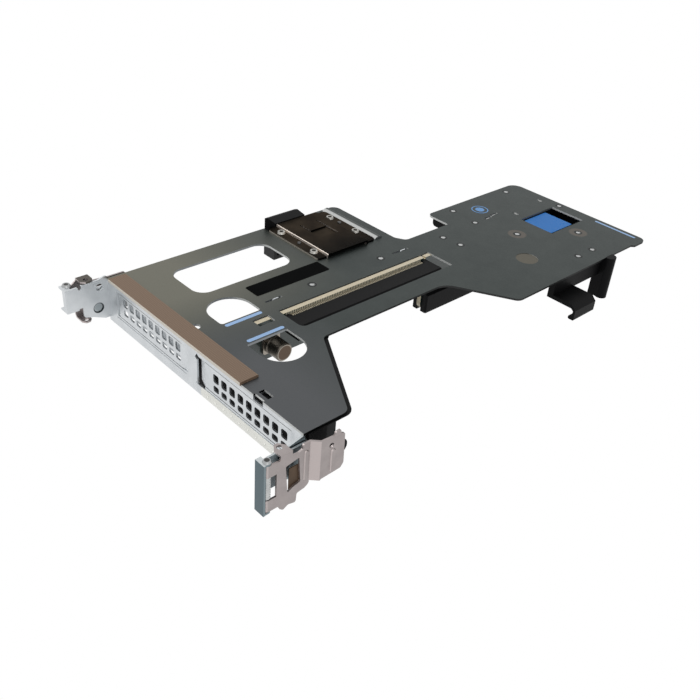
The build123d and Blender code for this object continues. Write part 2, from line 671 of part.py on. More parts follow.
with BuildPart() as left_latch_lever:
    low = left_ear_z[0] + sheet + ear_play
    high = left_ear_z[1] - sheet - ear_play
    with BuildSketch(side(left_lever_x)):
        add(outline([
            (back(left_pin[1]), high, 0), (back(-14.5), high, 0), (back(-12.4), top_z + 1.0, 0.5),
            (back(-6.0), top_z + 1.0, 0.8), (back(-5.0), top_z - 1.4, 0.8), (back(3.0), top_z - 2.0, 1),
            (back(11.0), top_z - 2.0, 1), (back(12.3), top_z - 3.4, 1), (back(12.3), top_z - 15.2, 1.5),
            (back(11.0), top_z - 16.5, 1), (back(-5.0), top_z - 16.5, 1), (back(-8.0), top_z - 17.4, 0.5),
            (back(-14.0), top_z - 17.4, 1), (back(-14.6), low, 0.5), (back(left_pin[1]), low, 0),
        ]))
        add(outline([
            (back(-11.5), top_z - 4.4, 0.5), (back(-6.0), top_z - 4.4, 0.5),
            (back(-6.0), top_z - 13.5, 0.8), (back(-11.5), top_z - 13.5, 0.8),
        ]), mode=Mode.SUBTRACT)
        with Locations((back(8.5), top_z - 6.0)):
            Circle(1.1, mode=Mode.SUBTRACT)
    extrude(amount=sheet)
    with BuildSketch(level(high)):
        with Locations((left_pin[0], back(left_pin[1]))):
            Circle(curl_out - 0.05)
    extrude(amount=low - high)
    with BuildSketch(level(high + 1)):
        with Locations((left_pin[0], back(left_pin[1]))):
            Circle(curl_in)
    extrude(amount=low - high - 2, mode=Mode.SUBTRACT)
    with BuildSketch(side(left_lever_x)):
        with Locations((back(3.0), top_z - 9.2)):
            SlotOverall(10.8, 2.2, rotation=90)
    extrude(amount=-0.45, taper=35)
    with BuildSketch(level(top_z + 1.9)):
        with BuildLine():
            reach_x = -half_w + 1.2
            Polyline((left_lever_x, back(-12.2)), (reach_x - 1.8, back(-12.2)), (reach_x, back(-10.4)),
                     (reach_x, back(-8.2)), (reach_x - 1.8, back(-6.4)), (left_lever_x, back(-6.4)),
                     close=True)
        make_face()
        with Locations((reach_x - 2.3, back(-9.3))):
            Circle(1.1, mode=Mode.SUBTRACT)
    extrude(amount=-sheet)
    with BuildSketch(level(top_z - 17.1)):
        with BuildLine():
            reach_x = -half_w + 2.0
            Polyline((left_lever_x, back(-13.8)), (reach_x - 1.6, back(-13.8)), (reach_x, back(-12.6)),
                     (reach_x, back(-10.6)), (reach_x - 1.6, back(-9.2)), (left_lever_x, back(-9.2)),
                     close=True)
        make_face()
        with Locations((reach_x - 1.8, back(-11.5))):
            Circle(1.0, mode=Mode.SUBTRACT)
    extrude(amount=-sheet)
    box_at((left_lever_x, left_lever_x + sheet), (back(-13.8), back(-9.2)),
           (top_z - 17.9, top_z - 16.4))
    box_at((left_lever_x, left_lever_x + sheet), (back(-12.2), back(-6.4)),
           (top_z + 0.5, top_z + 1.9))
save(left_latch_lever.part, "left_latch_lever")


def latch_pin(pin, low, high, head_r):
    """Headed pin from below the lower ear at low to a head on the upper ear at high."""
    with BuildPart() as turned:
        with BuildSketch(level(low - 0.6)):
            with Locations((pin[0], back(pin[1]))):
                Circle(pin_r)
        extrude(amount=high - low + 0.6)
        with BuildSketch(level(high)):
            with Locations((pin[0], back(pin[1]))):
                Circle(head_r)
        extrude(amount=0.8, taper=25)
    return turned.part


save(latch_pin(left_pin, left_ear_z[0], left_ear_z[1], 2.0), "left_latch_pin")
save(latch_pin(right_pin, right_ear_z[0], right_ear_z[1], 1.65), "right_latch_pin")

# Torsion spring in the gap of the right lever, its coils round the pin
coil_count = 9
coil_wire = 0.5
with BuildPart() as right_latch_spring:
    coil_low = right_gap_z[0] + 0.2
    coil_high = right_gap_z[1] - 0.2
    pitch = (coil_high - coil_low) / coil_count
    inner = pin_r + 0.12
    outer = inner + coil_wire
    with BuildSketch(Plane(origin=(right_pin[0], back(right_pin[1]), 0), x_dir=(1, 0, 0),
                           z_dir=(0, -1, 0))):
        with BuildLine():
            Line((outer - 0.15, coil_low), (inner, coil_low))
            Line((inner, coil_low), (inner, coil_high))
            Line((inner, coil_high), (outer - 0.15, coil_high))
            for index in range(coil_count):
                z = coil_high - pitch * index
                Line((outer - 0.15, z), (outer, z - pitch / 2))
                Line((outer, z - pitch / 2), (outer - 0.15, z - pitch))
        make_face()
    revolve(axis=Axis((right_pin[0], back(right_pin[1]), 0), (0, 0, 1)))
save(right_latch_spring.part, "right_latch_spring")

# Leaf spring behind the window of the right lever and the round catch stud at the lever's end
with BuildPart() as right_latch_leaf:
    leaf_x = right_lever_x - sheet
    with BuildSketch(side(leaf_x)):
        add(outline([
            (back(-9.9), top_z - 7.6, 0.5), (back(-5.6), top_z - 7.6, 0), (back(-1.6), top_z - 7.6, 0.5),
            (back(-1.6), top_z - 16.8, 0.5), (back(-9.9), top_z - 19.0, 0.5),
        ]))
    extrude(amount=-0.4)
save(right_latch_leaf.part, "right_latch_leaf")

stud_place = (11.2, top_z - 7.0)
with BuildPart() as right_latch_stud:
    with BuildSketch(side(right_lever_x + step_out - sheet)):
        with Locations((back(stud_place[0]), stud_place[1])):
            Circle(3.5)
    extrude(amount=-3.6)
    fillet(right_latch_stud.edges().filter_by(GeomType.CIRCLE).group_by(Axis.X)[0], 0.8)
save(right_latch_stud.part, "right_latch_stud")

# Side module: black housing in the notch and the dark formed cover that holds it down
cover_x = (-64.9, -25.9)
cover_d = (88.0, 125.9)
channel_x = (-64.4, -25.1)
channel_d = (93.2, 120.0)
channel_slope = 0.3
channel_z = top_z + 2.2
ridge_d = (88.4, 107.8)
ridge_foot_d = (93.0, 112.2)
ridge_foot_x = -65.0
tongue_d = (102.9, 112.9)
tongue_x = (-56.7, -40.6)
pan_x = (-49.2, -40.6)
cover_screw_places = [(-57.7, 91.0), (-32.8, 91.0), (-56.8, 122.5), (-37.8, 122.9)]
cover_pin_places = [(-44.0, 91.2), (-49.9, 123.0)]

with BuildPart() as side_module_housing:
    with BuildSketch(level(top_z + touch)):
        add(outline([
            (-half_w, back(ridge_d[0]), 0), (-half_w, back(ridge_d[1]), 0),
            (ridge_foot_x, back(ridge_foot_d[1]), 0), (ridge_foot_x, back(ridge_foot_d[0]), 0),
        ]))
    extrude(amount=5.5 - touch)
    with BuildSketch(across(back(ridge_d[0]))):
        add(outline([
            (-half_w, top_z + touch, 0), (-half_w, top_z + 5.5, 0), (-half_w + 0.8, top_z + 5.5, 0),
            (ridge_foot_x, channel_z + 0.2, 0), (ridge_foot_x, top_z + touch, 0),
        ]))
    extrude(amount=-(ridge_foot_d[1] - ridge_d[0]), mode=Mode.INTERSECT)
    box_at((-half_w, module_x[1]), (back(module_d[0]), back(module_d[1])),
           (top_z - 14.5, top_z - touch))
    box_at((-half_w, ridge_foot_x), (back(ridge_foot_d[0]), back(ridge_d[1])),
           (top_z - 1.0, top_z + 1.0))
    cut_box((module_x[1] - 0.6, module_x[1] + 1), (back(module_d[0] + 2), back(module_d[1] - 2)),
            (top_z - 12.5, top_z - 2.5))
save(side_module_housing.part, "side_module_housing")

with BuildPart() as side_module_cover:
    box_at(cover_x, (back(cover_d[0]), back(cover_d[1])), (top_z, top_z + sheet))
    fillet(side_module_cover.edges().filter_by(Axis.Z), 2)
    with BuildSketch(side(channel_x[0])):
        add(outline([
            (back(channel_d[0]), top_z, 0), (back(channel_d[0] + channel_slope), channel_z, 0.4),
            (back(channel_d[1] - 0.5), channel_z, 0.4), (back(channel_d[1]), top_z, 0),
        ]))
    extrude(amount=channel_x[1] - channel_x[0])
    cut_box((channel_x[0] + sheet, channel_x[1] + 1),
            (back(channel_d[0] + channel_slope + 0.2), back(channel_d[1] - 1.2)),
            (top_z - 1, channel_z - sheet))
    for d in (tongue_d[0] - 0.8, tongue_d[1]):
        cut_box(tongue_x, (back(d), back(d + 0.8)), (channel_z - 1, channel_z + 1))
    cut_box(pan_x, (back(tongue_d[0]), back(tongue_d[1])), (channel_z - 0.9, channel_z + 1))
    box_at((pan_x[0] - 0.4, pan_x[1] + 0.4), (back(tongue_d[0] - 0.4), back(tongue_d[1] + 0.4)),
           (channel_z - 1.3, channel_z - sheet + 0.01))
    for x, d in cover_screw_places + cover_pin_places:
        with Locations((x, back(d), top_z)):
            Cylinder(0.92, 4, mode=Mode.SUBTRACT)
save(side_module_cover.part, "side_module_cover")


def fasteners(places, head_r, head_h, seat, recess):
    """Row of headed fasteners standing on seat, each with a short shank through the cover."""
    with BuildPart() as group:
        for x, d in places:
            with BuildSketch(level(seat)):
                with Locations((x, back(d))):
                    Circle(head_r)
            extrude(amount=head_h, taper=20)
            if recess:
                cut_box((x - 1.1, x + 1.1), (back(d - 0.35), back(d + 0.35)),
                        (seat + 0.3, seat + 1))
                cut_box((x - 0.35, x + 0.35), (back(d - 1.1), back(d + 1.1)),
                        (seat + 0.3, seat + 1))
            with BuildSketch(level(seat)):
                with Locations((x, back(d))):
                    Circle(0.9)
            extrude(amount=top_z - seat)
    return group.part


save(fasteners(cover_screw_places, 2.1, 0.9, top_z + sheet, True), "cover_screws")
save(fasteners(cover_pin_places, 1.1, 0.5, top_z + sheet, False), "cover_pins")

# Moulded card support: beam under the far edge of the plate, an arm with a hooked tip, a post
beam_x = (50.7, 53.9)
beam_d = (169.5, 210.0)
arm_d = (169.5, 186.5)
arm_z = top_z - 9.0
hook_z = top_z - 16.7
hook_x = 67.6
post_place = (56.7, 211.5)
leg_d = 208.4
with BuildPart() as card_support:
    box_at(beam_x, (back(beam_d[0]), back(beam_d[1])), (top_z - 9.8, under_z))
    with BuildSketch(across(back(arm_d[0]))):
        add(outline([
            (beam_x[0], arm_z, 0), (hook_x - 2.4, arm_z, 0), (hook_x, arm_z - 2.4, 0),
            (hook_x, hook_z, 0.5), (64.4, hook_z, 0.6), (64.4, hook_z + 1.6, 0.5),
            (hook_x - 1.3, hook_z + 2.4, 0.3), (hook_x - 1.3, arm_z - 3.0, 0.5),
            (hook_x - 2.6, arm_z - 2.0, 0.5), (beam_x[0], arm_z - 2.0, 0),
        ]))
    extrude(amount=-(arm_d[1] - arm_d[0]))
    with BuildSketch(level(top_z - 22.3)):
        with Locations((post_place[0], back(post_place[1]))):
            Circle(3.0)
    extrude(amount=22.8)
    cut_box((post_place[0] - 4, far_x + 0.1), (back(post_place[1] - 4), back(post_place[1] + 4)),
            (under_z, top_z + 1))
    box_at((beam_x[1] - 0.2, post_place[0]), (back(leg_d), back(post_place[1])), (top_z - 22, under_z))
    box_at(beam_x, (back(leg_d), back(beam_d[1])), (top_z - 22, under_z))
save(card_support.part, "card_support")

# Moulded spacer under the plate beside the neck
with BuildPart() as plate_spacer:
    box_at((-29.4, -17.6), (back(173.0), back(200.0)), (top_z - 6.0, under_z))
    fillet(plate_spacer.edges().filter_by(Axis.Y).group_by(Axis.Z)[0], 2)
    with Locations((-26.7, back(185.6), under_z)):
        Cylinder(rivet_foot_r + 0.15, 2, mode=Mode.SUBTRACT)
save(plate_spacer.part, "plate_spacer")

# Release: fixed guide under the window, slider with a latch hook, and the blue push pad on it
guide_top = top_z - 5.4
guide_x = 25.2
guide_d = (release_d[0] - 6.0, release_d[1] + 3.5)
pad_x = (2.7, 20.6)
pad_d = (211.0, 230.0)
pad_top = under_z - 0.05
slider_top = top_z - 4.2
slider_travel = 6.0

with BuildPart() as release_guide:
    box_at((board_x + touch, guide_x), (back(guide_d[0]), back(guide_d[1])),
           (guide_top - sheet, guide_top))
    for x in (board_x + touch, guide_x - 0.8):
        box_at((x, x + 0.8), (back(guide_d[0]), back(guide_d[1])), (guide_top - sheet, under_z))
    box_at((guide_x - 0.8, 49.5), (back(194.5), back(226.0)), (under_z - sheet, under_z))
    box_at((board_x + touch, guide_x), (back(guide_d[1] - 0.8), back(guide_d[1])),
           (guide_top - sheet, under_z))
    box_at((guide_x - 0.8, guide_x), (back(194.5), back(204.0)), (under_z - 3, under_z))
    for x, d in rivet_places + pressed_places:
        with Locations((x, back(d), under_z)):
            Cylinder(rivet_foot_r + 0.15, 3, mode=Mode.SUBTRACT)
save(release_guide.part, "release_guide")

with BuildPart() as release_slider:
    slide_low = guide_top + 0.3
    box_at((4.0, 19.4), (back(205.0), back(231.5)), (slide_low, slider_top))
    box_at((9.0, 14.4), (back(188.0), back(205.5)), (slide_low, slider_top))
    box_at((9.0, 14.4), (back(188.0), back(188.0 + 0.9)), (top_z - 14.0, slider_top))
    fillet(release_slider.edges().filter_by(Axis.Y).group_by(Axis.Z)[0], 0.2)
save(release_slider.part, "release_slider")

with BuildPart() as release_pad:
    box_at(pad_x, (back(pad_d[0]), back(pad_d[1])), (slider_top, pad_top))
    fillet(release_pad.edges().filter_by(Axis.Z), 0.8)
save(release_pad.part, "release_pad")

# Bare black label on the neck
with BuildPart() as neck_label:
    box_at((-25.6, -16.4), (back(44.5), back(86.9)), (top_z, top_z + 0.12))
    fillet(neck_label.edges().filter_by(Axis.Z), 0.8)
save(neck_label.part, "neck_label")
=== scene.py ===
# %% [markdown]
# # A two-slot server riser
# This lesson dresses a riser card: a printed board that stands upright under a steel plate,
# with a card slot on each face, a perforated rear bracket and two side latches.
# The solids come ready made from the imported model, so the lesson is about three things:
# the light, the finish of each metal, plastic and cloth, and the small parts that repeat.

import math

import bmesh
import bpy
from mathutils import Matrix, Vector


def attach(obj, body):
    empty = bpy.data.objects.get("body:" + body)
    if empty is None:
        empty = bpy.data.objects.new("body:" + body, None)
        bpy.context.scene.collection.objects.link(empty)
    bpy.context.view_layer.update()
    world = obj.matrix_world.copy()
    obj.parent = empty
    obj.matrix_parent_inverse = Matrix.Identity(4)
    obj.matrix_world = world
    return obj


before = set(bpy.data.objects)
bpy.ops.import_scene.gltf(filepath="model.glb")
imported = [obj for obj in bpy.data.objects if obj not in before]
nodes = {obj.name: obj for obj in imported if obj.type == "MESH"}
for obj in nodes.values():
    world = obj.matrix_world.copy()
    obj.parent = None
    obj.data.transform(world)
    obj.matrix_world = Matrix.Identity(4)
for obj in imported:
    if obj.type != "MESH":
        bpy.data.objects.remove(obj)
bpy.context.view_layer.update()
MM = 0.001
print("nodes in the packed model:", len(nodes))

# %% [markdown]
# ## Where things are
# Every place in this lesson is given in millimetres, as it was in the solids: x from the middle
# of the board, a distance behind the face of the rear bracket, and a height over the top of the
# plate, which is left out where it is zero. One helper turns these numbers into a point, so that
# a mark on the plate can be written down with the sizes that a ruler on the real plate gives.

# %% Places on the riser
PLATE_TOP = 31.5
BRACKET_FACE = -180.0
PRESSED_PLACES = [(29.9, 221.9), (11.9, 192.6)]
DISC_PLACE = (32.2, 174.6)
RIVET_PLACES = [(-10.4, 70.8), (-10.4, 114.4), (-10.1, 184.6), (-8.0, 156.8), (2.75, 158.1),
                (-26.7, 185.6), (-26.7, 231.6), (3.3, 241.9), (46.0, 211.1), (46.0, 198.7)]
COVER_SCREWS = [(-57.7, 91.0, 2.3), (-32.8, 91.0, 2.3), (-56.8, 122.5, 2.3), (-37.8, 122.9, 2.3)]
LATCH_PINS = [(71.7, -19.2, 1.1), (-71.35, -17.3, 1.1)]
ARM_DIMPLE = (-67.4, -5.4, -13.0)
CAPACITOR_END = (10.9, 37.8, -12.1)
FRONT_LEFT_CORNER = (-67.9, 0.0)


def place(x, behind, over=0.0):
    """Point in metres from millimetres: x, distance behind the bracket, height over the plate."""
    return Vector((x, BRACKET_FACE + behind, PLATE_TOP + over)) * MM


corner = place(*FRONT_LEFT_CORNER)
print("front left corner of the plate:", tuple(round(v, 4) for v in corner))

# %% [markdown]
# ## Camera
# The photograph was taken from the front right and above. A camera is a point, three
# directions and a lens. The directions go into one matrix as columns: right, up and backward.
# A lens of 43.6 mm on a 36 mm wide sensor gives the same perspective as the photograph.

# %% Camera
RIGHT = Vector((0.6758, 0.7338, 0.0697))
UP = Vector((-0.4503, 0.336, 0.8273))
BACKWARD = Vector((0.5836, -0.5905, 0.5575))
EYE = Vector((238.7, -333.3, 222.216))
LENS = 43.607
SENSOR = 36.0
camera_data = bpy.data.cameras.new("camera")
camera_data.sensor_width = SENSOR
camera_data.lens = LENS
camera_data.clip_start = 0.01
camera_data.clip_end = 20.0
camera = bpy.data.objects.new("camera", camera_data)
bpy.context.scene.collection.objects.link(camera)
turn = Matrix((RIGHT, UP, BACKWARD)).transposed().to_4x4()
camera.matrix_world = Matrix.Translation(EYE * MM) @ turn
bpy.context.scene.camera = camera
print("camera at", tuple(round(v, 3) for v in camera.location))

# %% [markdown]
# ## Helpers for materials
# Colours are written as the hex values that a screen shows. Blender works in linear light,
# so one function converts them. One more function adds a node with its settings, its values
# and its links, which keeps each material short enough to read from top to bottom.


# %% Colour and node helpers
def srgb(code):
    """Linear colour with alpha from a hex code such as 4B5053."""
    channels = [int(code[i : i + 2], 16) / 255 for i in (0, 2, 4)]
    linear = [c / 12.92 if c <= 0.04045 else ((c + 0.055) / 1.055) ** 2.4 for c in channels]
    return (*linear, 1.0)


def add(tree, kind, settings=None, values=None, links=None):
    """Add a node: attributes from settings, socket values from values, sources from links."""
    made = tree.nodes.new(kind)
    for key, value in (settings or {}).items():
        setattr(made, key, value)
    for key, value in (values or {}).items():
        made.inputs[key].default_value = value
    for key, source in (links or {}).items():
        tree.links.new(source, made.inputs[key])
    return made


def new_material(name, **values):
    """Material with one Principled shader whose own sockets get the given values."""
    material = bpy.data.materials.new(name)
    material.use_nodes = True
    tree = material.node_tree
    tree.nodes.clear()
    shader = add(tree, "ShaderNodeBsdfPrincipled")
    for key, value in values.items():
        shader.inputs[key.replace("_", " ")].default_value = value
    add(tree, "ShaderNodeOutputMaterial", links={"Surface": shader.outputs["BSDF"]})
    return material, tree, shader


print("a plate grey in linear light:", [round(c, 3) for c in srgb("434947")[:3]])

# %% [markdown]
# ## World
# The photograph was taken on white paper in a light room. The world could be a picture of such
# a room, but a soft grey that is brighter to the left than to the right does as well, because
# the paper hides the rest. Where the camera, a mirror or glass looks straight at it, the world
# is plain white: Light Path tells those rays from the ones that carry light.
# Metal then reflects white paper, so a metal's colour renders about as it is written.


# %% World
def straight_look(tree):
    """Factor that is 1 for rays of the camera, of a mirror and through glass."""
    rays = add(tree, "ShaderNodeLightPath")
    first = add(tree, "ShaderNodeMath", {"operation": "MAXIMUM"},
                links={0: rays.outputs["Is Camera Ray"], 1: rays.outputs["Is Glossy Ray"]})
    both = add(tree, "ShaderNodeMath", {"operation": "MAXIMUM"},
               links={0: first.outputs[0], 1: rays.outputs["Is Transmission Ray"]})
    return both.outputs[0]


world = bpy.data.worlds.new("room")
bpy.context.scene.world = world
world.use_nodes = True
room = world.node_tree
room.nodes.clear()
direction = add(room, "ShaderNodeTexCoord")
split = add(room, "ShaderNodeSeparateXYZ", links={"Vector": direction.outputs["Generated"]})
to_left = add(room, "ShaderNodeMapRange",
              values={"From Min": -1.0, "From Max": 0.6, "To Min": 1.05, "To Max": 0.55},
              links={"Value": split.outputs["X"]})
light = add(room, "ShaderNodeBackground", values={"Color": srgb("F4F6FA")},
            links={"Strength": to_left.outputs["Result"]})
paper = add(room, "ShaderNodeBackground", values={"Color": (1, 1, 1, 1), "Strength": 1.0})
choose = add(room, "ShaderNodeMixShader",
             links={0: straight_look(room), 1: light.outputs[0], 2: paper.outputs[0]})
add(room, "ShaderNodeOutputWorld", links={"Surface": choose.outputs[0]})
bpy.context.scene.view_settings.view_transform = "Standard"
print("world nodes:", len(room.nodes))

# %% [markdown]
# ## Lamps
# The real riser seems to stand by a window at its front left, and the bright room fills its
# shadows from the right. Two square area lamps do the same, because a large lamp gives shadows
# with soft edges, which a point or a sun wouldn't.


# %% Lamps
def area_lamp(name, at, towards, size, power):
    """Square lamp of a size in metres, aimed at a point."""
    data = bpy.data.lights.new(name, "AREA")
    data.size = size
    data.energy = power
    lamp = bpy.data.objects.new(name, data)
    bpy.context.scene.collection.objects.link(lamp)
    lamp.location = at
    lamp.rotation_euler = (Vector(towards) - Vector(at)).to_track_quat("-Z", "Y").to_euler()


area_lamp("window_light", at=(-0.5, -0.5, 0.75), towards=(0, -0.05, 0), size=0.5, power=1.7)
area_lamp("fill_light", at=(0.7, -0.5, 0.35), towards=(0, -0.1, 0.02), size=0.6, power=0.9)
print("lamps:", len(bpy.data.lights))

# %% [markdown]
# ## Floor
# The floor is a large sheet of white paper just under the host connector. Straight rays from
# the camera, and those that a metal reflects, see it as plain white, as in the photograph.
# For all other rays it is matt paper, which throws light up under the plate.

# %% Floor
FLOOR_HALF = 4.0
FLOOR_DROP = 0.0005
floor_data = bpy.data.meshes.new("floor")
sheet = bmesh.new()
bmesh.ops.create_grid(sheet, x_segments=1, y_segments=1, size=FLOOR_HALF)
bmesh.ops.translate(sheet, verts=sheet.verts, vec=(0, 0, -FLOOR_DROP))
sheet.to_mesh(floor_data)
sheet.free()
floor = bpy.data.objects.new("floor", floor_data)
bpy.context.scene.collection.objects.link(floor)
paper_white, tree, shader = new_material("white_paper", Roughness=0.9, Base_Color=srgb("F6F6F6"))
glow = add(tree, "ShaderNodeEmission", values={"Color": (1, 1, 1, 1), "Strength": 1.0})
mix = add(tree, "ShaderNodeMixShader",
          links={0: straight_look(tree), 1: shader.outputs[0], 2: glow.outputs[0]})
tree.links.new(mix.outputs[0], tree.nodes["Material Output"].inputs["Surface"])
floor_data.materials.append(paper_white)
print("floor laid")

# %% [markdown]
# ## Sheet metals
# Four sheet metals are in view. The plate is hot-dip galvanised sheet, which has weathered to a
# dull grey with a faint cloudy spangle. The bracket is bright zinc plated. The latch levers are
# warm, bead-blasted stainless steel, and the module's cover is plated in dark nickel.
# Screws, rivets, pins and the coil spring are turned or drawn steel with a smoother skin, and
# the leaf in the right lever is spring bronze.
# All share one recipe: a large soft noise moves the colour a little, a fine noise in
# millimetres moves the roughness, and the same fine noise gives a very shallow bump.


# %% Metal recipe
FINE_BUMP = 0.00005


def sheet_metal(name, dark, light, cloud_mm, grain_mm, roughness, metallic):
    """Plated metal: clouds of cloud_mm between two colours, grain of grain_mm in the gloss."""
    material, tree, shader = new_material(name, Metallic=metallic, Roughness=roughness)
    where = add(tree, "ShaderNodeTexCoord")
    clouds = add(tree, "ShaderNodeTexNoise",
                 values={"Scale": 1000 / cloud_mm, "Detail": 3.0, "Roughness": 0.5},
                 links={"Vector": where.outputs["Object"]})
    colour = add(tree, "ShaderNodeMix", {"data_type": "RGBA"},
                 values={6: srgb(dark), 7: srgb(light)}, links={0: clouds.outputs["Fac"]})
    grain = add(tree, "ShaderNodeTexNoise",
                values={"Scale": 1000 / grain_mm, "Detail": 2.0},
                links={"Vector": where.outputs["Object"]})
    gloss = add(tree, "ShaderNodeMapRange",
                values={"To Min": roughness - 0.07, "To Max": roughness + 0.09},
                links={"Value": grain.outputs["Fac"]})
    bump = add(tree, "ShaderNodeBump", values={"Strength": 0.06, "Distance": FINE_BUMP},
               links={"Height": grain.outputs["Fac"]})
    tree.links.new(colour.outputs[2], shader.inputs["Base Color"])
    tree.links.new(gloss.outputs["Result"], shader.inputs["Roughness"])
    tree.links.new(bump.outputs["Normal"], shader.inputs["Normal"])
    return material


# The four numbers are the size of the clouds, the size of the grain, roughness and metallic.
plate_galvanised = sheet_metal("galvanised_plate", "353B3A", "434947", 9.0, 0.6, 0.46, 0.85)
bright_zinc = sheet_metal("bright_zinc", "BDC1C4", "DCDFE1", 6.0, 0.5, 0.34, 0.9)
lever_stainless = sheet_metal("blasted_stainless", "968E8D", "ACA4A2", 5.0, 0.4, 0.42, 0.9)
dark_nickel = sheet_metal("dark_nickel", "1F1C19", "4E463D", 11.0, 0.5, 0.33, 0.9)
polished_steel = sheet_metal("polished_steel", "A4A6A6", "CBCCCB", 3.0, 0.3, 0.25, 0.95)
screw_plated = sheet_metal("plated_screw", "9C9A94", "BAB8B2", 3.0, 0.3, 0.3, 0.95)
dark_steel = sheet_metal("dark_steel", "3A3A3A", "565553", 3.0, 0.3, 0.3, 0.9)
spring_bronze = sheet_metal("spring_bronze", "3E3024", "5A4734", 3.0, 0.3, 0.35, 0.8)
print("metals:", [m.name for m in bpy.data.materials if m.name != "white_paper"])

# %% [markdown]
# ## Colour laid over a metal
# Where a coat is cut or worn, or where the sheet turns down into the dark under the plate,
# the colour changes with the direction of the face or with the place. Painting it on a picture
# would need a map of each part, so each such change is a layer instead: a factor between 0 and
# 1, worked out from the place or the normal, and a colour that replaces the one below.


# %% Layer helpers
NO_HOLE = -1.0


def layer(material, factor, code):
    """Lay a colour over a material's base colour by a factor socket."""
    tree = material.node_tree
    base = tree.nodes["Principled BSDF"].inputs["Base Color"]
    below = base.links[0].from_socket
    mix = add(tree, "ShaderNodeMix", {"data_type": "RGBA"}, values={7: srgb(code)},
              links={0: factor, 6: below})
    tree.links.new(mix.outputs[2], base)


def facing(material, axis, start, full):
    """Factor that grows as the face's normal on an axis goes from start to full."""
    tree = material.node_tree
    where = add(tree, "ShaderNodeTexCoord")
    split = add(tree, "ShaderNodeSeparateXYZ", links={"Vector": where.outputs["Normal"]})
    ramp = add(tree, "ShaderNodeMapRange", values={"From Min": start, "From Max": full},
               links={"Value": split.outputs[axis]})
    return ramp.outputs["Result"]


def along(material, axis, start_mm, full_mm, strength=1.0):
    """Factor that grows from 0 to strength between two places on an axis, in millimetres."""
    tree = material.node_tree
    where = add(tree, "ShaderNodeTexCoord")
    split = add(tree, "ShaderNodeSeparateXYZ", links={"Vector": where.outputs["Object"]})
    ramp = add(tree, "ShaderNodeMapRange",
               values={"From Min": start_mm * MM, "From Max": full_mm * MM, "To Max": strength},
               links={"Value": split.outputs[axis]})
    return ramp.outputs["Result"]


def around(material, spot, inner_mm, outer_mm, soft_mm=0.3):
    """Factor of 1 in the ring between two radii round a spot; NO_HOLE as inner fills the ring."""
    tree = material.node_tree
    where = add(tree, "ShaderNodeTexCoord")
    off = add(tree, "ShaderNodeVectorMath", {"operation": "DISTANCE"},
              values={1: tuple(place(*spot))}, links={0: where.outputs["Object"]})
    steps = []
    for first, last in ((inner_mm - soft_mm, inner_mm), (outer_mm + soft_mm, outer_mm)):
        steps.append(add(tree, "ShaderNodeMapRange",
                         values={"From Min": first * MM, "From Max": last * MM},
                         links={"Value": off.outputs["Value"]}))
    both = add(tree, "ShaderNodeMath", {"operation": "MULTIPLY"},
               links={0: steps[0].outputs["Result"], 1: steps[1].outputs["Result"]})
    return both.outputs[0]


def times(material, first, second):
    """Product of two factors."""
    product = add(material.node_tree, "ShaderNodeMath", {"operation": "MULTIPLY"},
                  links={0: first, 1: second})
    return product.outputs[0]


print("layer helpers made")

# %% [markdown]
# ## Tones of the plate
# The wings of the plate look lighter towards the bracket, the left one warm and the right one
# cool, so each gets painted light: a colour that grows towards its front corner. The zinc is
# rubbed round each pressed place and dull in the round recess, and a dark ring round each rivet
# and pressed place is painted shade in the gap round its head. Faces that look to the front,
# the bead among them, get a pale painted highlight and less metal; edges that look to the far
# end get painted shadow, and those on the right a painted highlight, apart from the side of the
# platform, which gets painted shade because it hangs over the dark.

# %% Layers of the plate
plate = plate_galvanised
# Painted light: each wing grows lighter towards its front corner.
left_wing_painted_light = times(plate, along(plate, "X", 10, -35),
                  along(plate, "Y", BRACKET_FACE + 95, BRACKET_FACE + 30))
layer(plate, left_wing_painted_light, "706F64")
right_wing_painted_light = times(plate, along(plate, "X", -20, 25),
                   along(plate, "Y", BRACKET_FACE + 60, BRACKET_FACE + 15))
layer(plate, right_wing_painted_light, "555759")
for spot in PRESSED_PLACES:
    layer(plate, around(plate, spot, inner_mm=2.4, outer_mm=4.4, soft_mm=0.8), "5B564F")
layer(plate, around(plate, DISC_PLACE, NO_HOLE, outer_mm=5.4), "5C584D")
# Painted shade: a dark ring in the gap round each rivet and pressed place.
for spot in RIVET_PLACES + PRESSED_PLACES:
    layer(plate, around(plate, spot, inner_mm=1.0, outer_mm=2.1, soft_mm=0.2), "272A2A")
# Painted highlight: faces that look to the front turn pale and less metallic.
front_painted_highlight = facing(plate, "Y", -0.03, -0.25)
layer(plate, front_painted_highlight, "C4C5C2")
metal_share = add(plate.node_tree, "ShaderNodeMapRange", values={"To Min": 0.85, "To Max": 0.2},
                  links={"Value": front_painted_highlight})
plate.node_tree.links.new(metal_share.outputs["Result"],
                          plate.node_tree.nodes["Principled BSDF"].inputs["Metallic"])
# Painted shadow on edges that look to the far end, painted highlight on edges that look right.
layer(plate, facing(plate, "Y", 0.25, 0.6), "1A1B1C")
layer(plate, facing(plate, "X", 0.5, 0.8), "85888A")
# Painted shade on the side of the platform, which hangs over the dark.
platform_side = along(plate, "X", 23.5, 24.0)
layer(plate, times(plate, facing(plate, "X", 0.3, 0.5), platform_side), "0C0D0E")
print("layers on the plate:", sum(n.bl_idname == "ShaderNodeMix" for n in plate.node_tree.nodes))

# %% [markdown]
# ## Tones of the module cover and its screws
# Dark nickel is glossy, so the cover gets painted reflections: a bright front lip, a dark right
# side and a top that gets darker to the right. A grey specular tint keeps its reflections from
# turning white.
# The recess in each screw head holds a dark spot of painted shade.

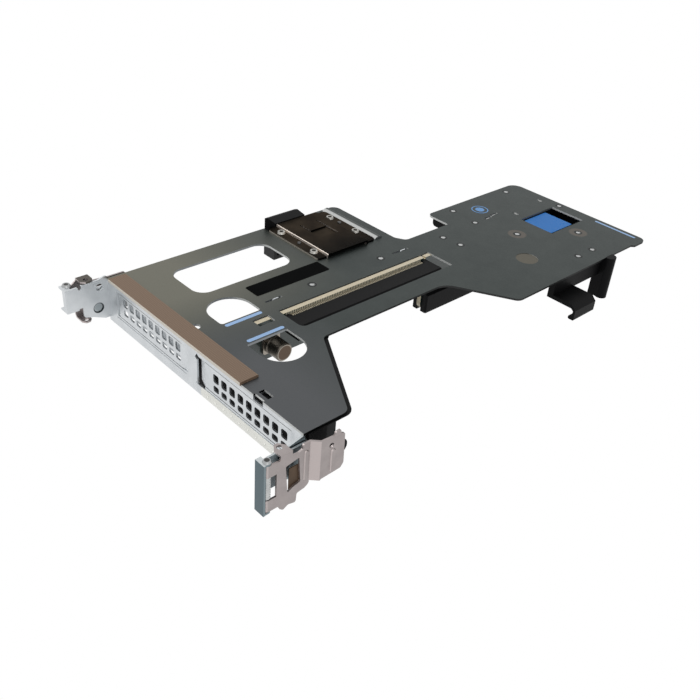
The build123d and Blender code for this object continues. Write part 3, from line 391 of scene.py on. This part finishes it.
# %% Layers of the cover and the screws
# Painted reflections: a top darker to the right, a bright front lip, a dark right side.
layer(dark_nickel, along(dark_nickel, "X", -44, -26, 0.8), "191918")
layer(dark_nickel, facing(dark_nickel, "Y", -0.3, -0.7), "E8DDD2")
layer(dark_nickel, facing(dark_nickel, "X", 0.3, 0.7), "141414")
nickel_shader = dark_nickel.node_tree.nodes["Principled BSDF"]
nickel_shader.inputs["Specular Tint"].default_value = srgb("A0A0A0")
# Painted shade in the recess of each screw head.
for spot in COVER_SCREWS:
    layer(screw_plated, around(screw_plated, spot, NO_HOLE, outer_mm=1.0), "2A2826")
print("nickel and screws layered:", len(COVER_SCREWS), "screws")

# %% [markdown]
# ## Tones of the levers, the bracket and the pins
# Blasted steel gets a painted highlight on the faces that look to the front and painted shade
# on those that look back, and the top of the left lever gets painted shade too. The right end of
# the bracket is a deep fold, so its zinc is painted a darker blue grey for its shade, with more
# painted shade on the face and a painted highlight on the top. The dimple in the left arm has a
# dark ring of painted shade round a softer grey spot of painted shade, and the heads of the pins
# a painted highlight: a bright rim round a dark middle.

# %% Layers of the levers, the bracket and the pins
# Painted shade on the top of the left lever.
lever_top = along(lever_stainless, "Z", PLATE_TOP + 0.2, PLATE_TOP + 0.6)
left_side = along(lever_stainless, "X", -60, -62)
layer(lever_stainless, times(lever_stainless, lever_top, left_side), "57524C")
# Painted highlight on faces that look to the front, painted shade on those that look back.
layer(lever_stainless, facing(lever_stainless, "Y", -0.1, -0.5), "BDB3B1")
layer(lever_stainless, facing(lever_stainless, "Y", 0.1, 0.5), "4C4645")
# Painted shade: the deep fold at the right end of the bracket turns a darker blue grey.
right_end = along(bright_zinc, "X", 66.5, 68.0)
layer(bright_zinc, right_end, "79868B")
# Painted shade: a dark ring and a softer grey spot in the dimple of the left arm.
layer(bright_zinc, around(bright_zinc, ARM_DIMPLE, 2.05, 2.5, soft_mm=0.2), "4C5356")
layer(bright_zinc, around(bright_zinc, ARM_DIMPLE, NO_HOLE, 1.6, soft_mm=0.4), "9BA3A6")
# Painted shade on the face of the fold, and a painted highlight on its top.
web_face_painted_shade = times(bright_zinc, right_end, facing(bright_zinc, "Y", -0.3, -0.7))
layer(bright_zinc, web_face_painted_shade, "55646A")
web_top_painted_highlight = times(bright_zinc, right_end, facing(bright_zinc, "Z", 0.4, 0.8))
layer(bright_zinc, web_top_painted_highlight, "C8CDCE")
# Painted highlight: a bright rim on the head of each latch pin.
for spot in LATCH_PINS:
    layer(dark_steel, around(dark_steel, spot, inner_mm=1.1, outer_mm=2.6, soft_mm=0.2), "A8AAAA")
print("levers, bracket and pins layered:", len(LATCH_PINS), "pins")

# %% [markdown]
# ## Moulded plastics
# The slots, the host connector, the card support and the module housing are glass-filled
# nylon, black with a fine eroded texture that keeps the gloss low. The push pad is the same
# plastic in blue. A fine noise of about 0.4 mm in the bump is what tells plastic from paint.
# The liner and the label are polyester film, so their grain is coarser and hardly raised.


# %% Plastic recipe
SHADES_PER_METRE = 70.0


def moulded(name, code, roughness, grain_mm=0.4, strength=0.12, gloss=0.5):
    """Moulded plastic of one colour with an eroded surface of grain_mm."""
    material, tree, shader = new_material(name, Roughness=roughness, Specular_IOR_Level=gloss)
    where = add(tree, "ShaderNodeTexCoord")
    shade = add(tree, "ShaderNodeTexNoise", values={"Scale": SHADES_PER_METRE, "Detail": 2.0},
                links={"Vector": where.outputs["Object"]})
    base = srgb(code)
    paler = tuple(min(1.0, c * 1.18 + 0.002) for c in base[:3]) + (1.0,)
    colour = add(tree, "ShaderNodeMix", {"data_type": "RGBA"}, values={6: base, 7: paler},
                 links={0: shade.outputs["Fac"]})
    grain = add(tree, "ShaderNodeTexNoise", values={"Scale": 1000 / grain_mm, "Detail": 1.0},
                links={"Vector": where.outputs["Object"]})
    bump = add(tree, "ShaderNodeBump", values={"Strength": strength, "Distance": FINE_BUMP},
               links={"Height": grain.outputs["Fac"]})
    tree.links.new(colour.outputs[2], shader.inputs["Base Color"])
    tree.links.new(bump.outputs["Normal"], shader.inputs["Normal"])
    return material


black_nylon = moulded("black_nylon", "050506", 0.5, gloss=0.09)
satin_black = moulded("satin_black", "0A0A0B", 0.4, 0.7, 0.05, 0.25)
liner_film = moulded("liner_film", "050506", 0.6, 0.8, 0.05, 0.12)
label_film = moulded("label_film", "020303", 0.7, 0.9, 0.04, 0.02)
pad_blue = moulded("pad_blue", "1C6CB4", 0.45, gloss=0.2)
print("plastics made")

# %% [markdown]
# ## Board
# The board is glass fibre under a green solder mask. Its broad faces look green, but its cut
# edges show the bare cream laminate, so the material mixes the two by the direction that a
# face points: only faces that look along X carry the mask. The tinned pads of the right slot
# stand on that face in a row under the plate, one millimetre apart and half as wide. They are
# too thin to model, so they are one more layer, cut off at the ends of the slot.

# %% Board
PAD_START = BRACKET_FACE + 46.0
PAD_END = BRACKET_FACE + 130.6
PAD_FOOT = PLATE_TOP - 2.0
PADS_PER_METRE = 1000.0
PAD_SHIFT = 0.75
CRISP = 0.1
WEAVES_PER_METRE = 900.0
board_mask, tree, shader = new_material("solder_mask", Roughness=0.3, Coat_Weight=0.4)
where = add(tree, "ShaderNodeTexCoord")
across = add(tree, "ShaderNodeSeparateXYZ", links={"Vector": where.outputs["Normal"]})
flat = add(tree, "ShaderNodeMath", {"operation": "ABSOLUTE"}, links={0: across.outputs["X"]})
on_face = add(tree, "ShaderNodeMath", {"operation": "GREATER_THAN"}, values={1: 0.6},
              links={0: flat.outputs[0]})
weave = add(tree, "ShaderNodeTexNoise", values={"Scale": WEAVES_PER_METRE, "Detail": 2.0},
            links={"Vector": where.outputs["Object"]})
mask = add(tree, "ShaderNodeMix", {"data_type": "RGBA"},
           values={6: srgb("0B1F1D"), 7: srgb("15332E")}, links={0: weave.outputs["Fac"]})
core = add(tree, "ShaderNodeMix", {"data_type": "RGBA"},
           values={6: srgb("B6A684"), 7: srgb("DCD0B2")}, links={0: weave.outputs["Fac"]})
both = add(tree, "ShaderNodeMix", {"data_type": "RGBA"},
           links={0: on_face.outputs[0], 6: core.outputs[2], 7: mask.outputs[2]})
tree.links.new(both.outputs[2], shader.inputs["Base Color"])
split = add(tree, "ShaderNodeSeparateXYZ", links={"Vector": where.outputs["Object"]})
count = add(tree, "ShaderNodeMath", {"operation": "MULTIPLY_ADD"},
            values={1: PADS_PER_METRE, 2: PAD_SHIFT}, links={0: split.outputs["Y"]})
part = add(tree, "ShaderNodeMath", {"operation": "FRACT"}, links={0: count.outputs[0]})
stripe = add(tree, "ShaderNodeMath", {"operation": "LESS_THAN"}, values={1: 0.5},
             links={0: part.outputs[0]})
upper = along(board_mask, "Z", PAD_FOOT, PAD_FOOT + CRISP)
row = times(board_mask, upper, along(board_mask, "Y", PAD_END, PAD_END - CRISP))
row = times(board_mask, row, along(board_mask, "Y", PAD_START, PAD_START + CRISP))
pads = times(board_mask, times(board_mask, row, stripe.outputs[0]),
             facing(board_mask, "X", 0.5, 0.6))
layer(board_mask, pads, "D6CDB6")
print("board finish made, with the solder pads of the slot one millimetre apart")

# %% [markdown]
# ## Gasket cloth
# The gasket is woven conductive cloth round a foam core. Two wave patterns at right angles,
# 0.9 mm apart, are drawn a little coarser than real so that they show. One period of the wave
# texture is 0.314 metres divided by its scale. The edge that looks to the front is cream.

# %% Gasket cloth
THREAD = 0.9 * MM
WAVE_AT_SCALE_ONE = 0.314
gasket_cloth, tree, shader = new_material("conductive_cloth", Roughness=0.6, Metallic=0.25)
where = add(tree, "ShaderNodeTexCoord")
threads = []
for axis in ("X", "Y"):
    threads.append(add(tree, "ShaderNodeTexWave", {"bands_direction": axis},
                       values={"Scale": WAVE_AT_SCALE_ONE / THREAD, "Distortion": 0.6,
                               "Detail": 1.0},
                       links={"Vector": where.outputs["Object"]}))
woven = add(tree, "ShaderNodeMath", {"operation": "MULTIPLY"},
            links={0: threads[0].outputs["Fac"], 1: threads[1].outputs["Fac"]})
split = add(tree, "ShaderNodeSeparateXYZ", links={"Vector": where.outputs["Normal"]})
front = add(tree, "ShaderNodeMath", {"operation": "LESS_THAN"}, values={1: -0.75},
            links={0: split.outputs["Y"]})
top = add(tree, "ShaderNodeMix", {"data_type": "RGBA"},
          values={6: srgb("755F4D"), 7: srgb("88745F")}, links={0: woven.outputs[0]})
cream = add(tree, "ShaderNodeMix", {"data_type": "RGBA"}, values={7: srgb("CFC8BC")},
            links={0: front.outputs[0], 6: top.outputs[2]})
bump = add(tree, "ShaderNodeBump", values={"Strength": 0.15, "Distance": 0.0001},
           links={"Height": woven.outputs[0]})
tree.links.new(cream.outputs[2], shader.inputs["Base Color"])
tree.links.new(bump.outputs["Normal"], shader.inputs["Normal"])
print("cloth threads per metre:", round(1 / THREAD))

# %% [markdown]
# ## Small metals
# The tails of the slot are tinned and a little yellow, the springs in its mouth are gold
# plated, and the lower gasket is a plated strip. They reuse the metal recipe. The capacitor is
# a bare can, brown grey on its side, with a paler end whose middle is sunk and darker.

# %% Small metals
tinned_tail = sheet_metal("tinned_tail", "B9AF98", "D2C9B2", 2.0, 0.3, 0.35, 0.8)
contact_gold = sheet_metal("contact_gold", "B8924A", "D9B76C", 2.0, 0.3, 0.28, 1.0)
gasket_metal = sheet_metal("plated_strip", "D2D2CC", "E8E8E2", 4.0, 0.4, 0.35, 0.8)
can_aluminium = sheet_metal("bare_can", "5C574F", "79736A", 4.0, 0.3, 0.4, 0.9)
layer(can_aluminium, facing(can_aluminium, "X", 0.8, 0.95), "A39C92")
layer(can_aluminium, around(can_aluminium, CAPACITOR_END, NO_HOLE, outer_mm=3.3), "5F5044")
print("small metals made")

# %% [markdown]
# ## Dressing the solids
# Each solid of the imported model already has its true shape, so it only needs its finish.
# A table keeps the pairs together: it reads like the parts list of the real product.

# %% Finish of each part
FINISH = {
    "top_plate": plate_galvanised, "riser_board": board_mask,
    "right_slot_connector": black_nylon, "left_slot_connector": black_nylon,
    "host_connector": black_nylon, "slot_contact_tails": tinned_tail,
    "capacitor": can_aluminium, "board_bracket": bright_zinc, "board_screws": polished_steel,
    "plate_rivets": polished_steel, "underside_liner": liner_film, "rear_bracket": bright_zinc,
    "left_slot_cover": bright_zinc, "right_slot_cover": bright_zinc, "top_gasket": gasket_cloth,
    "lower_gasket": gasket_metal, "left_latch_pin": dark_steel,
    "right_latch_pin": dark_steel, "right_latch_spring": polished_steel,
    "right_latch_lever": lever_stainless, "left_latch_lever": lever_stainless,
    "right_latch_leaf": spring_bronze, "right_latch_stud": black_nylon,
    "side_module_housing": satin_black, "side_module_cover": dark_nickel,
    "cover_screws": screw_plated, "cover_pins": dark_steel, "card_support": black_nylon,
    "plate_spacer": black_nylon, "release_guide": black_nylon, "release_slider": black_nylon,
    "release_pad": pad_blue, "neck_label": label_film,
}
for name, finish in FINISH.items():
    data = nodes[name].data
    data.materials.clear()
    data.materials.append(finish)
print("parts dressed:", len(FINISH), "left bare:", sorted(set(nodes) - set(FINISH)))

# %% [markdown]
# ## Printed marks
# Blue ink marks the places to hold: three short lines, and a ring with a dot. Ink has almost
# no thickness, so each mark is a flat face a few hundredths of a millimetre over the plate.
# The outlines come from small functions, so a mark is written as its place and its size:
# a line has x, distance behind the bracket, width and length.

# %% Blue marks
INK_OVER = 0.03
NEAR_LINES = [(-5.0, 28.5, 1.9, 19.0), (9.6, 28.8, 1.9, 19.0)]
FAR_LINE = (39.5, 242.4, 1.4, 25.0)
RING_PLACE = (-19.5, 199.7)
RING_RADIUS = 4.7
RING_WIDTH = 0.6
DOT_RADIUS = 2.5
ink_blue = moulded("ink_blue", "90B0D6", 0.5, 0.6, 0.03)
ink_deep = moulded("ink_deep_blue", "5B8FC4", 0.5, 0.6, 0.03)


def flat_piece(name, outlines, over, material, body):
    """One object from flat outlines, each a list of (x, behind) points, at one height."""
    mesh = bmesh.new()
    for outline in outlines:
        mesh.faces.new([mesh.verts.new(place(x, behind, over)) for x, behind in outline])
    mesh.normal_update()
    for face in mesh.faces:
        if face.normal.z < 0:
            face.normal_flip()
    data = bpy.data.meshes.new(name)
    mesh.to_mesh(data)
    mesh.free()
    data.materials.append(material)
    piece = bpy.data.objects.new(name, data)
    bpy.context.scene.collection.objects.link(piece)
    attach(piece, body)


def rounded_bar(x, behind, width, length, steps=8):
    """Outline of a bar with round ends, centred on x and behind, long way along y."""
    r = width / 2
    reach = length / 2 - r
    points = []
    for end, first in ((1, 0), (-1, math.pi)):
        for i in range(steps + 1):
            a = first + math.pi * i / steps
            points.append((x + r * math.cos(a), behind + end * reach + r * math.sin(a)))
    return points


def laid_across(outline, x, behind):
    """Outline with its two directions swapped about its middle, so that it lies along x."""
    return [(x + b - behind, behind + a - x) for a, b in outline]


def disc(x, behind, r, steps=36):
    """Outline of a disc."""
    angles = [2 * math.pi * i / steps for i in range(steps)]
    return [(x + r * math.cos(a), behind + r * math.sin(a)) for a in angles]


def ring(x, behind, r, width, steps=36):
    """Outlines of a ring, one four-sided face for each step."""
    outer = disc(x, behind, r, steps)
    inner = disc(x, behind, r - width, steps)
    following = [(i + 1) % steps for i in range(steps)]
    return [[outer[i], outer[j], inner[j], inner[i]] for i, j in enumerate(following)]


bars = [rounded_bar(*line) for line in NEAR_LINES]
bars.append(laid_across(rounded_bar(*FAR_LINE), *FAR_LINE[:2]))
flat_piece("hold_lines", bars, INK_OVER, ink_blue, "carrier")
ring_and_dot = ring(*RING_PLACE, RING_RADIUS, RING_WIDTH) + [disc(*RING_PLACE, DOT_RADIUS)]
flat_piece("hold_ring", ring_and_dot, INK_OVER, ink_deep, "carrier")
print("marks printed: lines", len(bars), "and faces of the ring", len(ring_and_dot))

# %% [markdown]
# ## Contact springs
# A card slot has 82 contact springs on each wall of its mouth, one millimetre apart, 11 in
# front of the key and 71 behind it, and the host connector has the same pitch. What repeats is
# made with Geometry Nodes: one tree lays two rows of a small block, and its inputs are the
# places of the rows, the count, the pitch and the size of a spring.


# %% Tree of contact rows
def contact_tree():
    """Node tree with two rows of blocks along y, one on each wall of a mouth."""
    tree = bpy.data.node_groups.new("contact_rows", "GeometryNodeTree")
    sockets = tree.interface
    for kind, name in (("Vector", "First Row"), ("Vector", "Second Row"), ("Int", "Count"),
                       ("Float", "Pitch"), ("Vector", "Spring Size"), ("Material", "Finish")):
        sockets.new_socket(name, in_out="INPUT", socket_type="NodeSocket" + kind)
    sockets.new_socket("Geometry", in_out="OUTPUT", socket_type="NodeSocketGeometry")
    given = add(tree, "NodeGroupInput")
    step = add(tree, "ShaderNodeCombineXYZ", links={"Y": given.outputs["Pitch"]})
    block = add(tree, "GeometryNodeMeshCube", links={"Size": given.outputs["Spring Size"]})
    join = add(tree, "GeometryNodeJoinGeometry")
    for row in ("First Row", "Second Row"):
        line = add(tree, "GeometryNodeMeshLine",
                   links={"Count": given.outputs["Count"], "Start Location": given.outputs[row],
                          "Offset": step.outputs[0]})
        springs = add(tree, "GeometryNodeInstanceOnPoints",
                      links={"Points": line.outputs[0], "Instance": block.outputs["Mesh"]})
        tree.links.new(springs.outputs[0], join.inputs[0])
    real = add(tree, "GeometryNodeRealizeInstances", links={0: join.outputs[0]})
    finish = add(tree, "GeometryNodeSetMaterial",
                 links={"Geometry": real.outputs[0], "Material": given.outputs["Finish"]})
    add(tree, "NodeGroupOutput", links={0: finish.outputs[0]})
    return tree


def contact_rows(name, first, second, count, size):
    """Make two rows of springs as a plain mesh that rides the carrier, and count its faces."""
    source = bpy.data.objects.new(name + "_source", bpy.data.meshes.new(name + "_source"))
    bpy.context.scene.collection.objects.link(source)
    modifier = source.modifiers.new("rows", "NODES")
    modifier.node_group = CONTACTS
    values = {"First Row": first, "Second Row": second, "Count": count, "Pitch": CONTACT_PITCH,
              "Spring Size": size, "Finish": contact_gold}
    for socket in CONTACTS.interface.items_tree:
        if socket.in_out == "INPUT":
            modifier[socket.identifier] = values[socket.name]
    seen = source.evaluated_get(bpy.context.evaluated_depsgraph_get())
    mesh = bpy.data.meshes.new_from_object(seen)
    source.modifiers.remove(modifier)
    bpy.data.objects.remove(source)
    mesh.name = name
    piece = bpy.data.objects.new(name, mesh)
    bpy.context.scene.collection.objects.link(piece)
    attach(piece, "carrier")
    return len(mesh.polygons)


# A mouth has its x and its height, a run has its name, its first spring and its count.
CONTACTS = contact_tree()
CONTACT_PITCH = 1.0 * MM
MOUTHS = {"right_slot": (8.5, -5.15), "left_slot": (-8.5, -6.45)}
SLOT_RUNS = [("short", 47.4, 11), ("long", 60.8, 71)]
SLOT_ROW_OFF = 0.72
SLOT_SPRING = Vector((5.6, 0.5, 0.2)) * MM
HOST_RUNS = [("near", 144.4, 34), ("far", 182.4, 38)]
HOST_ROW_OFF = 1.16
HOST_HEIGHT = 3.0 - PLATE_TOP
HOST_SPRING = Vector((0.2, 0.5, 3.4)) * MM
total = 0
for mouth, (x, over) in MOUTHS.items():
    for part, behind, count in SLOT_RUNS:
        low = place(x, behind, over - SLOT_ROW_OFF)
        high = place(x, behind, over + SLOT_ROW_OFF)
        total += contact_rows(mouth + "_springs_" + part, low, high, count, SLOT_SPRING)
for part, behind, count in HOST_RUNS:
    left = place(-HOST_ROW_OFF, behind, HOST_HEIGHT)
    right = place(HOST_ROW_OFF, behind, HOST_HEIGHT)
    total += contact_rows("host_springs_" + part, left, right, count, HOST_SPRING)
print("faces of the contact springs:", total)
